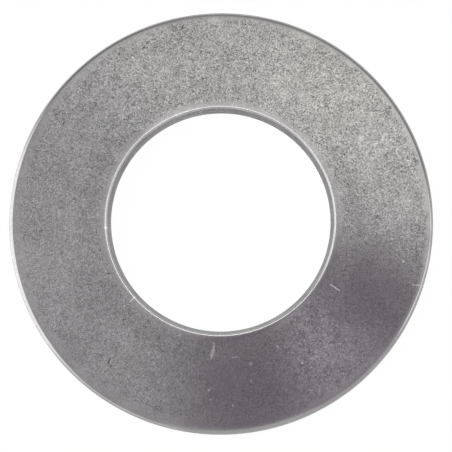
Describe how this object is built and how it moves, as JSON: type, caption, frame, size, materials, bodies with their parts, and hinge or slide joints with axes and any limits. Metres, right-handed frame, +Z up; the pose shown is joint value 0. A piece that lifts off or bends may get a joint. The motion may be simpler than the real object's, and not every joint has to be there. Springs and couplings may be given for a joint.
{
  "type": "belleville washer",
  "caption": "Conical spring washer: a round ring of flat spring steel dished to a shallow cone, with tumbled edges and a plain centre hole for a bolt.",
  "frame": {"origin": "on the washer's axis, in the plane that its rim rests on", "axes": "+Z up along the washer's axis, from the rim towards the crown at the bore"},
  "size_m": [0.0315, 0.0314, 0.0021],
  "materials": {
    "spring_steel": "tumbled bare spring steel, matt and finely pitted on the faces, burnished along the edges"
  },
  "bodies": {
    "root": {"disc_spring": "spring_steel"}
  },
  "joints": []
}
